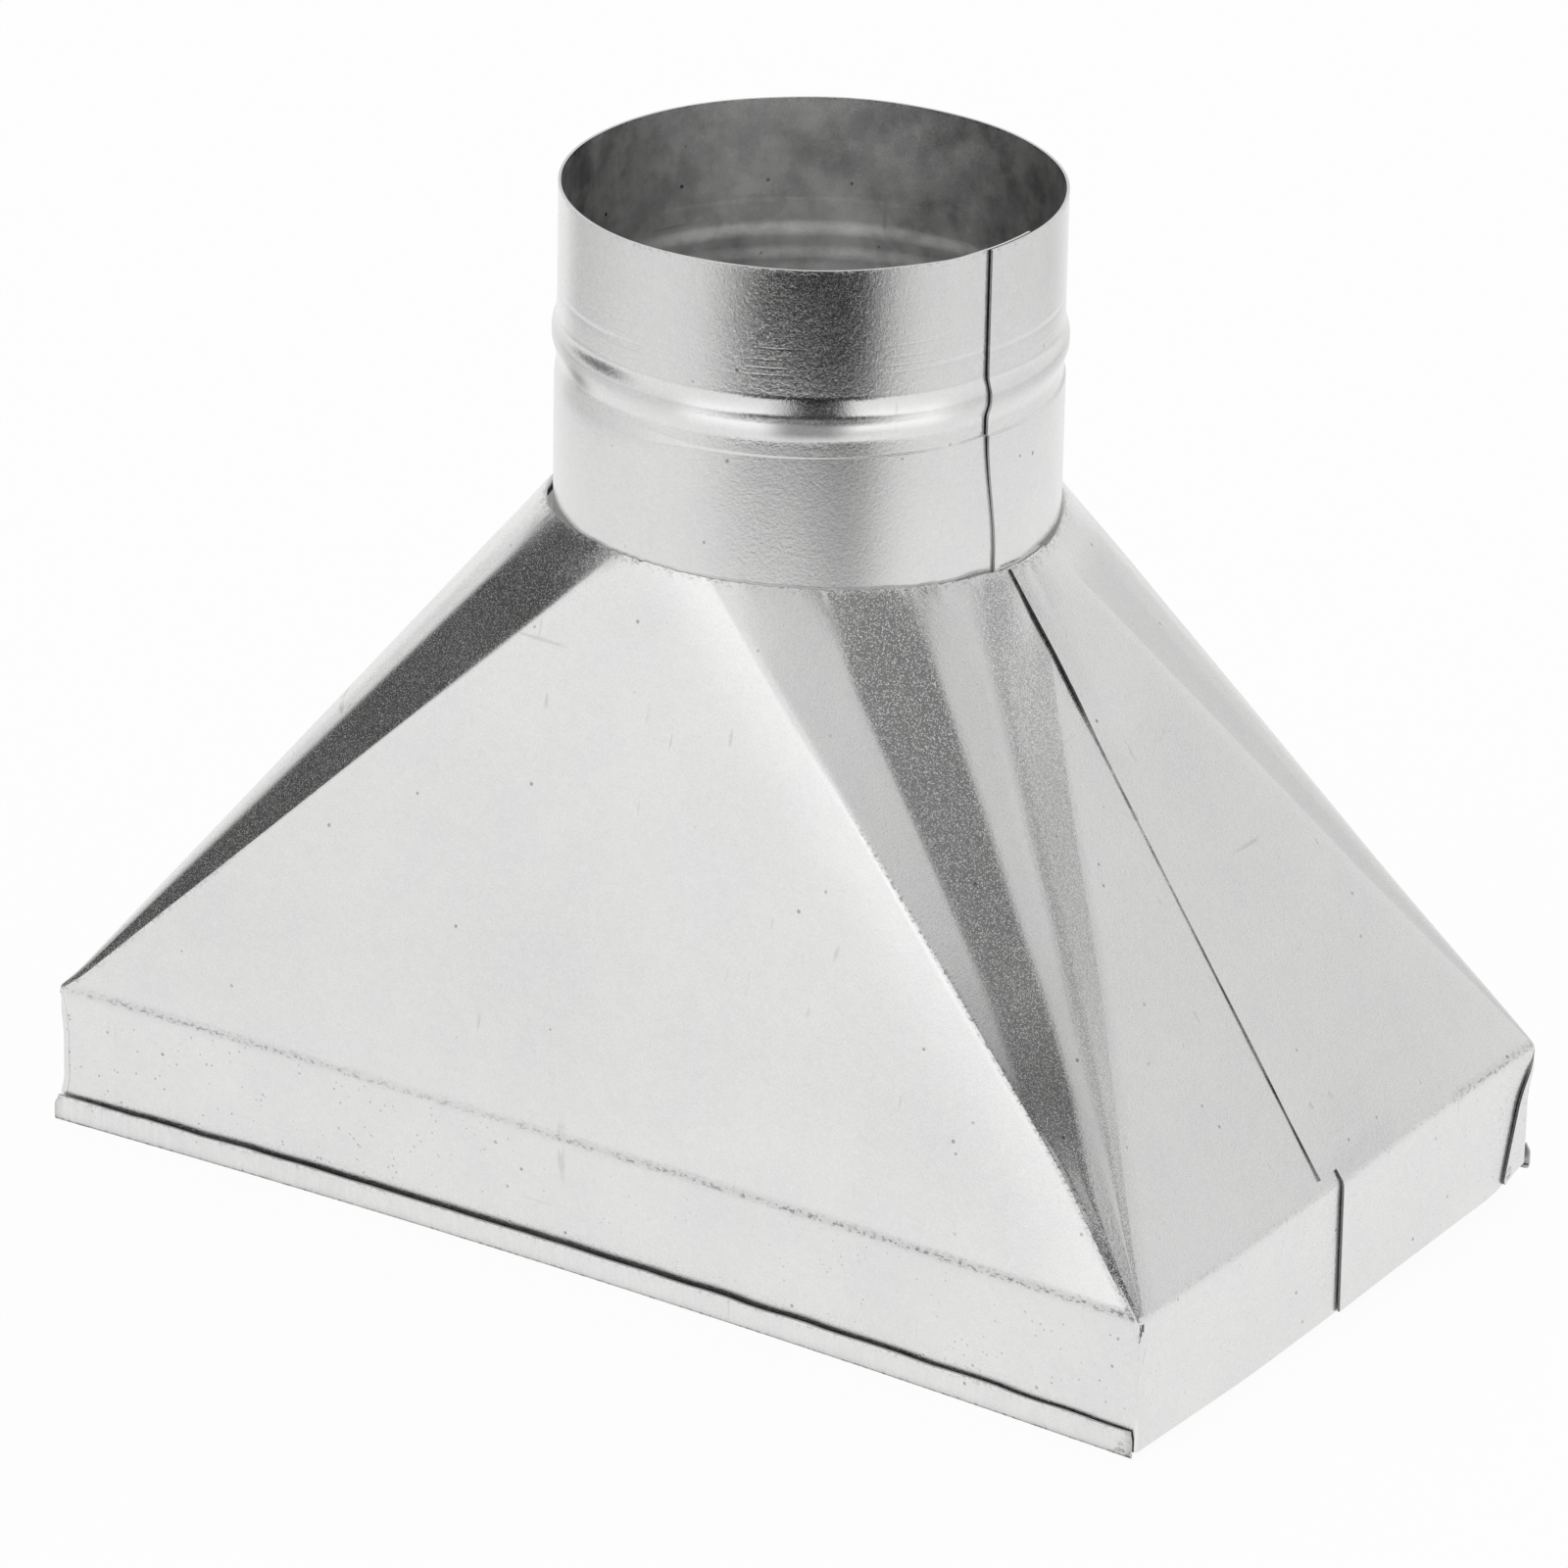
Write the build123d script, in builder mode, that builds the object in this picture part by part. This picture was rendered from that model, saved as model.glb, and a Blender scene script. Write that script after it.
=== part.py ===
"""Register boot: a rectangular floor-register outlet that narrows to a round spigot for a duct.

Frame: the origin is the centre of the rectangular outlet, on the plane that its two hems stand
on, +Z points up to the spigot, and X runs along the outlet's long side. Sizes are in millimetres.

The boot is three pieces of galvanised sheet. Two identical body halves face each other, the
one turned half a turn from the other, and lap at the middle of the outlet's short sides. The
third piece is a rolled collar that stands in the round neck of the body.
"""
import os
from math import atan, cos, degrees, radians, sin

from build123d import *

# Sheet metal
sheet = 0.55
lap_slip = 0.08

# Outlet band, the four upright walls under the fold, and how far its short walls and corner
# tabs stop above the hems that the boot stands on
band_length = 256.0
band_width = 150.2
band_height = 29.1
foot_rise = 1.4

# Neck, where the creased body meets the collar, higher at the long faces than at the ends
neck_height = 140.4
neck_rise = 3.0
neck_slip = 0.05

# Collar
overall_height = 207.4
spigot_radius = 49.5
collar_step = 0.4
collar_step_height = 169.4
collar_step_run = 2.6
collar_tuck = 5.0
bead_height = 177.0
bead_width = 8.4
bead_proud = 0.95

# Collar seam, where the rolled sheet laps itself
seam_angle = -13.0
seam_lap = 13.0
seam_gap = 0.3
joggle_angle = 20.0
joggle_radius = 22.0

# Brake creases: where each one meets the neck, in degrees from +X
near_creases = (-77.5, -52.8, -33.6, -18.4)
end_crease = 9.0
far_creases = (23.2, 36.4, 49.6, 77.5)
crease_spread = 1.3

# Lap between the two body halves at each end
lap_over_top = 3.5
lap_over_foot = 6.8
lap_under = 8.0
band_over = 1.5
band_under = 9.0
notch_rise = 1.8

# Open hem along each long side's lower edge
hem_height = 5.8
hem_gap = 0.75
hem_overrun = 1.0
hem_setback = 0.6

# Triangular tabs that close the outlet band at its corners
tab_foot = 11.0
tab_tip_radius = 1.4
tab_bend_radius = 0.6
slit_margin = 0.5

os.makedirs("parts", exist_ok=True)

# Worked out from the sizes above
half_length = band_length / 2
half_width = band_width / 2
collar_radius = spigot_radius + collar_step
neck_radius = collar_radius + neck_slip
crease_radius = collar_radius + crease_spread
lap_rise = sheet + lap_slip
band_lean = lap_rise / (half_width - band_under)
wall_line = -half_width + sheet / 2
neck_slope = neck_rise / crease_radius
neck_top = neck_height + neck_rise
past = 4 * sheet


def polar(reach, angle):
    """A point on the floor plane, at a reach from the axis and an angle from +X."""
    return Vector(reach * cos(radians(angle)), reach * sin(radians(angle)), 0)


def ring_point(angle, rise=0.0):
    """Where a crease meets the neck, moved out by a rise for the sheet that laps over."""
    point = polar(crease_radius + rise, angle)
    return point + Vector(0, 0, neck_height - neck_slope * point.Y)


def brake_plane(first, second, third, inset):
    """The plane of one flat facet, its normal pointing out of the boot, moved in by an inset."""
    normal = (second - first).cross(third - first).normalized()
    centre = Vector(0, 0, band_height)
    if (first - centre).dot(normal) < 0:
        normal = -normal
    return Plane(origin=first - normal * inset, z_dir=normal)


def facet_planes(inset):
    """One half's flat facets, the long face, two cones and two ends, then its neck's edge."""
    near = Vector(half_length, -half_width, band_height)
    left = Vector(-half_length, -half_width, band_height)
    near_ring = [ring_point(a) for a in near_creases] + [ring_point(end_crease)]
    left_ring = [ring_point(a - 180) for a in reversed(far_creases)]
    left_ring.append(ring_point(end_crease - 180, lap_reach))
    planes = [brake_plane(near, left, near_ring[0], inset)]
    for corner, ring in ((near, near_ring), (left, left_ring)):
        for first, second in zip(ring, ring[1:]):
            planes.append(brake_plane(corner, first, second, inset))
    planes.append(brake_plane(near, near + Vector(0, 1, 0), near_ring[-1], inset))
    lap_foot = Vector(-half_length - lap_reach, -lap_under, band_height)
    planes.append(brake_plane(left, lap_foot, left_ring[-1], inset))
    planes.append(Plane(origin=(0, 0, neck_height), z_dir=(0, neck_slope, 1)))
    return planes


def band_outline(inset):
    """The half's outlet seen from above, moved in by an inset, open past the middle."""
    reach = half_width / 2
    rise = band_lean * (half_width + reach)
    with BuildLine(mode=Mode.PRIVATE) as outline:
        Polyline(
            (-half_length + inset, -half_width + inset),
            (half_length - inset, -half_width + inset),
            (half_length - inset, reach),
            (-half_length + inset - rise, reach),
            close=True,
        )
    return outline.line


def tab_triangle():
    """A corner tab seen from the outlet's end: nothing at the fold, widest at the lower edge."""
    with BuildSketch(mode=Mode.PRIVATE) as triangle:
        with BuildLine():
            Polyline(
                (-half_width - sheet, foot_rise),
                (-half_width - sheet, band_height),
                (-half_width + tab_bend_radius + sheet, band_height),
                (-half_width + tab_foot, foot_rise),
                close=True,
            )
        make_face()
        tip = triangle.vertices().sort_by(Axis.X)[-1]
        fillet(tip, radius=tab_tip_radius)
    return triangle.sketch


def collar_wall(radius):
    """The collar's wall seen in section, its outer skin at a radius from the bend's axis."""
    top_line = radius - sheet / 2
    bead_angle = 2 * degrees(atan(2 * bead_proud / bead_width))
    bead_radius = bead_width / (4 * sin(radians(bead_angle)))
    with BuildSketch(mode=Mode.PRIVATE) as wall:
        with BuildLine():
            spigot = Line((top_line, overall_height), (top_line, bead_height + bead_width / 2))
            shoulder = JernArc(spigot @ 1, (0, -1), bead_radius, bead_angle)
            crown = JernArc(shoulder @ 1, shoulder % 1, bead_radius, -2 * bead_angle)
            foot = JernArc(crown @ 1, crown % 1, bead_radius, bead_angle)
            Polyline(
                foot @ 1,
                (top_line, collar_step_height + collar_step_run),
                (top_line + collar_step, collar_step_height),
                (top_line + collar_step, neck_height - collar_tuck),
            )
        trace(line_width=sheet)
    return wall.sketch


# Slope of the end faces, which sets how far a lapped sheet moves out at the neck
end_slope = atan((neck_height - band_height) / (half_length - crease_radius))
lap_reach = lap_rise / sin(end_slope)

# Solid block under the outer skin, and the hollow under the inner skin
blocks = []
for inset in (0.0, sheet):
    with BuildPart() as block:
        with BuildSketch():
            add(band_outline(inset))
            make_face()
        extrude(amount=neck_top)
        for plane in facet_planes(inset):
            split(bisect_by=plane, keep=Keep.BOTTOM)
    blocks.append(block.part)

# Outside tab: the long wall's left end wraps round the corner and lies on the end wall
tab_clear = lap_slip + band_lean * tab_foot
outside_line = -half_length - tab_clear - sheet / 2
with BuildPart() as outside_tab:
    with BuildSketch():
        with BuildLine():
            FilletPolyline(
                (-half_length + past, wall_line),
                (outside_line, wall_line),
                (outside_line, -half_width + tab_foot),
                radius=tab_bend_radius,
            )
        trace(line_width=sheet)
    extrude(amount=band_height)
    with BuildSketch(Plane.YZ):
        add(tab_triangle())
    extrude(amount=-band_length, mode=Mode.INTERSECT)

# Inside tab: the long wall's right end turns in and lies behind the end wall
slit_top = band_height - slit_margin
inside_line = half_length - sheet - lap_slip - sheet / 2
with BuildPart() as inside_tab:
    with BuildSketch():
        with BuildLine():
            FilletPolyline(
                (inside_line - 2 * past, wall_line),
                (inside_line, wall_line),
                (inside_line, -half_width + tab_foot),
                radius=tab_bend_radius,
            )
        trace(line_width=sheet)
    extrude(amount=slit_top)
    with BuildSketch(Plane.YZ):
        add(tab_triangle())
    extrude(amount=band_length, mode=Mode.INTERSECT)

# One half of the body, before it is copied to the other side
with BuildPart() as half:
    add(blocks[0])
    add(blocks[1], mode=Mode.SUBTRACT)

    # Round neck that the collar stands in
    with BuildSketch(Plane.XY.offset(neck_height - collar_tuck)):
        Circle(neck_radius)
    extrude(amount=collar_tuck + neck_rise, mode=Mode.SUBTRACT)

    # Right end: this half's sheet runs under the other half
    with BuildSketch(Plane.YZ):
        with BuildLine():
            Polyline(
                (band_under, -past),
                (band_under, band_height),
                (lap_under, band_height),
                (lap_under, neck_top + past),
                (band_width, neck_top + past),
                (band_width, -past),
                close=True,
            )
        make_face()
    extrude(amount=band_length, mode=Mode.SUBTRACT)

    # Left end: this half's sheet runs over the other half and is notched at the fold
    with BuildSketch(Plane.YZ):
        with BuildLine():
            Polyline(
                (-band_over, -past),
                (-band_over, band_height + notch_rise),
                (lap_over_foot, band_height + notch_rise),
                (lap_over_top, neck_top + past),
                (band_width, neck_top + past),
                (band_width, -past),
                close=True,
            )
        make_face()
    extrude(amount=-band_length, mode=Mode.SUBTRACT)

    # Short walls stop above the plane that the hems stand on
    with BuildSketch():
        with Locations((half_length - sheet, -half_width)):
            Rectangle(past, 2 * band_width, align=(Align.MIN, Align.CENTER))
        with Locations((-half_length, -half_width + sheet)):
            Rectangle(2 * past, band_width, align=(Align.CENTER, Align.MIN))
    extrude(amount=foot_rise, mode=Mode.SUBTRACT)

    # Slit at the right corner, where the long wall turns in and the end wall's edge stays free
    with BuildSketch():
        with Locations((half_length - sheet, -half_width)):
            Rectangle(2 * tab_bend_radius + sheet, 3 * sheet, align=(Align.MAX, Align.CENTER))
    extrude(amount=slit_top, mode=Mode.SUBTRACT)

    # Corner tabs, bent from the long wall's two ends
    add(outside_tab.part)
    add(inside_tab.part)

    # Open hem: the lower edge turned out and up against the long wall
    hem_outer = hem_gap / 2 + sheet
    hem_length = band_length + hem_overrun - hem_setback
    with BuildSketch(Plane.YZ.offset(-half_length - hem_overrun)):
        with Locations((wall_line, 0)):
            Rectangle(sheet, hem_outer, align=(Align.CENTER, Align.MIN))
    extrude(amount=hem_length, mode=Mode.SUBTRACT)
    with BuildSketch(Plane.YZ.offset(-half_length - hem_overrun)):
        with BuildLine():
            Line((wall_line, hem_outer + sheet), (wall_line, hem_outer))
            bend = CenterArc(
                (-half_width - hem_gap / 2, hem_outer),
                (hem_gap + sheet) / 2,
                0,
                -180,
            )
            Line(bend @ 1, (-half_width - hem_gap - sheet / 2, hem_height))
        trace(line_width=sheet)
    extrude(amount=hem_length)

# The two halves are the same pressing, the back one turned half a turn
for name, turn in (("front_half", 0), ("back_half", 180)):
    with BuildPart() as placed_half:
        add(half.part, rotation=(0, 0, turn))
    placed_half.part.label = name
    export_step(placed_half.part, f"parts/{name}.step")

# Collar: the rolled sheet's bends, each with its axis, radius, first angle and sweep
under_drop = sheet + seam_gap
first_reach = spigot_radius - joggle_radius
second_reach = first_reach - under_drop
joggle_cos = cos(radians(joggle_angle))
radius_growth = (
    first_reach**2 + second_reach**2 - 2 * first_reach * second_reach * joggle_cos
) / (2 * (second_reach - first_reach * joggle_cos))
flat_radius = joggle_radius + radius_growth
joggle_start = seam_angle + 360 - joggle_angle
joggle_end = seam_angle + 360
tight_axis = polar(first_reach, joggle_start)
flat_axis = polar(spigot_radius - under_drop - flat_radius, joggle_end)
turnover = Vector(1, 0, 0).get_signed_angle(tight_axis - flat_axis, Vector(0, 0, 1)) % 360
bends = (
    (Vector(0, 0, 0), spigot_radius, seam_angle, 360 - joggle_angle),
    (tight_axis, joggle_radius, joggle_start, turnover - joggle_start),
    (flat_axis, flat_radius, turnover, joggle_end - turnover),
    (Vector(0, 0, 0), spigot_radius - under_drop, joggle_end, degrees(seam_lap / spigot_radius)),
)

with BuildPart() as collar:
    for axis_point, radius, start, sweep_angle in bends:
        across = polar(1, start)
        with BuildSketch(Plane(axis_point, x_dir=across, z_dir=across.cross(Vector(0, 0, 1)))):
            add(collar_wall(radius))
        revolve(axis=Axis(axis_point, (0, 0, 1)), revolution_arc=sweep_angle)

collar.part.label = "collar"
export_step(collar.part, "parts/collar.step")
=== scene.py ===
import math

import bpy
import numpy as np
from mathutils import Matrix, Vector


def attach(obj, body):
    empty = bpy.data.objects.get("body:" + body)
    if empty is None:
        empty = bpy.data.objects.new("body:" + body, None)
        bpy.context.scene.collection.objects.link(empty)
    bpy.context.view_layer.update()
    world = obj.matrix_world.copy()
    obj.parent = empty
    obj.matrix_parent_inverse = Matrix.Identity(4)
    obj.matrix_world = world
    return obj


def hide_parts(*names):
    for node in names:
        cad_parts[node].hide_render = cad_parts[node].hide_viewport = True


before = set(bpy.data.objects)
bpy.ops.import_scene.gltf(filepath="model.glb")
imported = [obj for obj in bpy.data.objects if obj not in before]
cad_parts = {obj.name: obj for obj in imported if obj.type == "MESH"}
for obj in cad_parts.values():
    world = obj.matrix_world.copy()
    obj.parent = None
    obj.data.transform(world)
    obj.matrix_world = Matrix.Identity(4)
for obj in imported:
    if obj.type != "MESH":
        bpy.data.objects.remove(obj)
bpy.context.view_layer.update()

# Sizes in millimetres, the same as the frame's
MM = 0.001
SHEET = 0.55
HALF_L = 128.0
HALF_W = 75.1
FOLD_Z = 29.1
FOOT = 1.4
NECK_Z = 140.4
NECK_RISE = 3.0
CREASE_R = 51.2
NECK_R = 50.55
LAP_RISE = 0.63
LAP_REACH = 0.77
LAP_Y = 1.5
HEM_FOOT = 0.93
HEM_TOP = 5.8
TAB_FOOT = 11.0
NOTCH_Z = 30.9
TOP_Z = 207.4
COLLAR_R = 49.5
COLLAR_FOOT = 135.9
SEAM_AZIMUTH = -13.0
BEAD_Z = 177.0
BEAD_REACH = 4.6
BEAD_RISE = 0.95
STEP_RISE = 0.4
STEP_FOOT = 169.375
ROLL_Z = 186.4
# the small round at each corner of the fold, the bend at the fold and the bends round the left corner
CORNER_R = 1.3
FOLD_BEND = 0.9
BEND_R = 1.15
WALL_TOP = FOLD_Z - FOLD_BEND
# the slit at the right corner, under the fold
SLIT_Z = 27.4
# sheet faces that meet at more than this stay crisp
SHARP_DEG = 44
WELD_M = 0.00001
# what the materials read, point by point
MARKS = ("scuff", "painted_light", "turn", "matte", "stain_and_shade", "edge_highlight", "pitted", "brushed", "inner_shade")


def smooth(t):
    t = np.clip(t, 0.0, 1.0)
    return t * t * (3 - 2 * t)


def bell(x, reach):
    return np.exp(-(x / reach) ** 2)


def waves(p, seed, size, count=7):
    """A smooth uneven value, about -1 to 1, over points in millimetres."""
    r = np.random.default_rng(seed)
    out = np.zeros(p.shape[:-1])
    for _ in range(count):
        d = r.normal(size=3)
        d /= np.linalg.norm(d)
        out += np.sin(p @ d * (2 * math.pi / (size * r.uniform(0.7, 1.5))) + r.uniform(0, 6.28))
    return out / count ** 0.5


def grid_faces(rows, cols, start=0, keep=None, flip=False):
    """Quads of a grid of points, row by row."""
    i, j = np.meshgrid(np.arange(rows - 1), np.arange(cols - 1), indexing="ij")
    if keep is not None:
        i, j = i[keep], j[keep]
    a = (i * cols + j).ravel() + start
    quads = np.stack([a, a + 1, a + 1 + cols, a + cols], 1)
    return quads[:, ::-1] if flip else quads


def make_piece(name, grids, node, materials):
    """One thin sheet piece from grids of outer-skin points: (points, keep, flip, marks)."""
    verts, faces, marks = [], [], {}
    start = 0
    for points, keep, flip, attrs in grids:
        rows, cols = points.shape[:2]
        verts.append(points.reshape(-1, 3))
        faces.append(grid_faces(rows, cols, start, keep, flip))
        for key in MARKS:
            value = attrs.get(key, np.zeros((rows, cols)))
            marks.setdefault(key, []).append(value.ravel())
        start += rows * cols
    verts = np.concatenate(verts) * MM
    faces = np.concatenate(faces)
    used = np.zeros(len(verts), bool)
    used[faces.ravel()] = True
    index = np.cumsum(used) - 1
    mesh = bpy.data.meshes.new(name)
    mesh.from_pydata(verts[used].tolist(), [], index[faces].tolist())
    for key, parts in marks.items():
        layer = mesh.attributes.new(key, "FLOAT", "POINT")
        layer.data.foreach_set("value", np.concatenate(parts)[used].astype(np.float32))
    mesh.shade_smooth()
    obj = bpy.data.objects.new(name, mesh)
    bpy.context.scene.collection.objects.link(obj)
    weld = obj.modifiers.new("weld", "WELD")
    weld.merge_threshold = WELD_M
    # the outer skin, the inside and the cut edge have a material each
    shell = obj.modifiers.new("sheet", "SOLIDIFY")
    shell.thickness = SHEET * MM
    shell.offset = -1
    shell.use_even_offset = True
    shell.use_quality_normals = True
    shell.material_offset = 1
    shell.material_offset_rim = 2
    split = obj.modifiers.new("edges", "EDGE_SPLIT")
    split.split_angle = math.radians(SHARP_DEG)
    for m in materials:
        mesh.materials.append(m)
    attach(obj, "root")
    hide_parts(node)


def placed(points, back):
    """The back half is the same pressing turned half a turn; then the outlet's own small warps."""
    points = points * np.array([-1.0, -1.0, 1.0]) if back else points.copy()
    x, y, z = points[..., 0].copy(), points[..., 1].copy(), points[..., 2].copy()
    # the right end climbs a little towards the back corner
    climb = np.interp(y, [-76, -35, -10, 20, 45, 66, 77], [0.0, -0.5, 0.1, 1.0, 1.4, 1.3, 0.9])
    climb = climb + 1.9 * smooth((y - 60) / 16) * smooth((16 - z) / 16)
    points[..., 2] += climb * smooth((x - 84) / 44) * smooth((80 - z) / 50)
    # the back right corner is pushed in below the fold
    corner = np.exp(-((x - 128) ** 2 + (y - 76) ** 2) / 196.0)
    push = corner * smooth((FOLD_Z + 1.5 - z) / 14)
    points[..., 0] -= 1.25 * push
    points[..., 1] -= 1.15 * push
    # the front left corner flares at the fold and is drawn in under it
    corner = np.exp(-((x + 128) ** 2 + (y + 76) ** 2) / 100.0)
    flare = corner * bell(z - FOLD_Z - 0.3, 2.4)
    draw = corner * smooth((FOLD_Z - 2 - z) / 9) * smooth((z - 5) / 5)
    points[..., 0] += 0.62 * draw - 0.7 * flare
    points[..., 1] += 0.25 * draw - 0.25 * flare
    # and stays within the solids' reach
    points[..., 0] = np.maximum(points[..., 0], -128.94)
    return points


# Body half

def ring(angle, reach):
    """Points round the neck's edge, which dips at the two ends."""
    a = np.radians(angle)
    y = reach * np.sin(a)
    return np.stack([reach * np.cos(a), y, NECK_Z + NECK_RISE * np.abs(y) / CREASE_R], -1)


RIGHT = np.array([HALF_L, -HALF_W, FOLD_Z])
LEFT = np.array([-HALF_L, -HALF_W, FOLD_Z])


def corner_foot(corner, share):
    """A point on the round at a corner of the fold: 0 on the end's side, 1 on the long side."""
    side = np.sign(corner[0])
    a = share * math.pi / 2
    c = corner + np.array([-side * CORNER_R, CORNER_R, 0])
    return c + CORNER_R * np.array([side * math.cos(a), -math.sin(a), 0])


# each crease: angle on the neck, how far it is lifted, foot on the fold, columns up to the next
CREASES = [
    (9.0, 0.0, np.array([HALF_L, 8.0, FOLD_Z]), 14),
    (7.5, 0.0, corner_foot(RIGHT, 0.0), 22),
    (-18.4, 0.0, corner_foot(RIGHT, 0.25), 20),
    (-33.6, 0.0, corner_foot(RIGHT, 0.5), 20),
    (-52.8, 0.0, corner_foot(RIGHT, 0.75), 24),
    (-77.5, 0.0, corner_foot(RIGHT, 1.0), 66),
    (-102.5, 0.0, corner_foot(LEFT, 1.0), 22),
    (-130.4, 0.0, corner_foot(LEFT, 0.75), 16),
    (-143.6, 0.0, corner_foot(LEFT, 0.5), 16),
    (-156.8, 0.0, corner_foot(LEFT, 0.25), 16),
    (-171.0, LAP_REACH, corner_foot(LEFT, 0.0), 18),
    (-179.2, LAP_REACH, np.array([-HALF_L - LAP_REACH * 0.8, LAP_Y, FOLD_Z]), 8),
    (-186.2, LAP_REACH, np.array([-HALF_L - LAP_REACH, 7.4, FOLD_Z]), 0),
]
LAST = len(CREASES) - 1
# the crease that each flat begins at: the right end's, the long face, the left end's and its lap
RIGHT_FLAT, LONG_FACE, LEFT_FLAT, LAP = 0, 5, 10, 11
# sideways bows of the right-hand creases: height share up the cone against a shift along the sheet
BOW_V = [0.0, 0.06, 0.19, 0.30, 0.42, 0.54, 0.655, 0.825, 1.0]
BOWS = {
    5: ((1, 0, 0), [0, 0.4, 3.0, 2.6, 2.3, 2.0, 1.4, 0.3, 0.4]),
    4: ((0.8, 0.6, 0), [0, -0.7, -1.2, -3.1, -1.8, -2.0, -2.2, -2.6, -2.0]),
    3: ((0.55, 0.83, 0), [0, -1.2, -2.3, 0.2, 0.9, 0.1, 0.1, -0.5, -0.4]),
    2: ((0.3, 0.95, 0), [0, 0.0, 0.4, 0.9, 0.8, 0.7, 0.2, 0.4, 0.3]),
    1: ((0, 1, 0), [0, -0.8, -0.6, -0.2, 0.0, -0.8, -1.8, -2.2, -1.0]),
}
BOW_X = np.linspace(0, 1, 201)
SOFTENER = bell(np.linspace(-2, 2, 31), 1.0)
# height rows on the cone: close together near the neck's edge and near the fold
V_ROWS = np.concatenate([
    1 - np.linspace(0, 0.16, 20),
    np.linspace(0.83, 0.2, 30),
    np.linspace(0.185, 0.024, 20),
    [(NOTCH_Z - FOLD_Z) / (NECK_Z - FOLD_Z), 0.0105],
])
FOLD_ROWS = 6
WALL_ROWS = 24


def bow_at(shape, v):
    """A bow through its given heights, without kinks."""
    line = np.interp(BOW_X, BOW_V, shape)
    soft = np.convolve(np.pad(line, len(SOFTENER) // 2, mode="edge"), SOFTENER / SOFTENER.sum(), "valid")
    soft = soft - soft[0] * (1 - smooth(BOW_X / 0.1))
    return np.interp(v, BOW_X, soft)


def crease_curve(k, v):
    angle, lift, foot, _ = CREASES[k]
    top = ring(angle, CREASE_R + lift)
    line = foot + (top - foot) * v[:, None]
    if k in BOWS:
        d, b = BOWS[k]
        line = line + np.array(d)[None] * bow_at(b, v)[:, None]
    return line


def half_columns():
    """For each column: which crease it follows and how far to the next."""
    which, share = [], []
    for k, (_, _, _, n) in enumerate(CREASES[:-1]):
        t = np.linspace(0, 1, n, endpoint=False)
        t = t if k in (RIGHT_FLAT, LEFT_FLAT, LAP) else (t + smooth(t)) / 2
        which += [k] * n
        share += list(t)
    which.append(LAST - 1)
    share.append(1.0)
    return np.array(which), np.array(share)


WHICH, SHARE = half_columns()


def along(values):
    """A crease's value carried over the columns up to the next crease's."""
    values = np.array(values)
    first, last = values[WHICH], values[np.minimum(WHICH + 1, LAST)]
    share = SHARE[:, None] if values.ndim > 1 else SHARE
    return first + share * (last - first)


ANGLE = along([c[0] for c in CREASES])
FEET = along([c[2] for c in CREASES])
ON_LONG = (WHICH == LONG_FACE) | ((WHICH == LONG_FACE + 1) & (SHARE == 0))
RIGHT_END = (WHICH == RIGHT_FLAT) | ((WHICH == RIGHT_FLAT + 1) & (SHARE == 0))
LEFT_END = (WHICH == LEFT_FLAT) | (WHICH == LAP)


def soft_section(pts, v):
    """One height's section: straight between the creases, rounded at each of them."""
    gaps = np.linalg.norm(np.diff(pts, axis=0), axis=1)
    s = np.concatenate([[0], np.cumsum(gaps)])
    sj = s[WHICH] + SHARE * gaps[WHICH]
    soft = 0.10 + 1.9 * smooth((v - 0.02) / 0.35) * np.ones(len(WHICH))
    # the long face's creases are crisp low down, and the end's all the way
    for k in (LONG_FACE, LONG_FACE + 1):
        soft = soft * (1 - bell(sj - s[k], 3.0) * 0.8 * smooth((0.80 - v) / 0.25))
    soft = soft * (1 - 0.8 * bell(sj - s[1], 3.0) + 0.5 * bell(sj - s[2], 3.0))
    total = np.zeros((len(WHICH), 3))
    weight = 0.0
    first = (pts[1] - pts[0]) / max(gaps[0], 1e-6)
    last = (pts[-1] - pts[-2]) / gaps[-1]
    for g in np.linspace(-1.5, 1.5, 9):
        w = math.exp(-g * g)
        x = sj + g * soft
        inside = np.clip(x, 0, s[-1])
        q = np.stack([np.interp(inside, s, pts[:, c]) for c in range(3)], 1)
        q += np.minimum(x, 0)[:, None] * first + np.maximum(x - s[-1], 0)[:, None] * last
        total += q * w
        weight += w
    return total / weight, sj - s[LONG_FACE], sj - s[LONG_FACE + 1]


def pushed_out(cone, amount):
    """Moves the cone's points away from the axis, in place."""
    radial = cone[..., :2] / np.linalg.norm(cone[..., :2], axis=-1, keepdims=True)
    cone[..., :2] += radial * amount[..., None]


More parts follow.
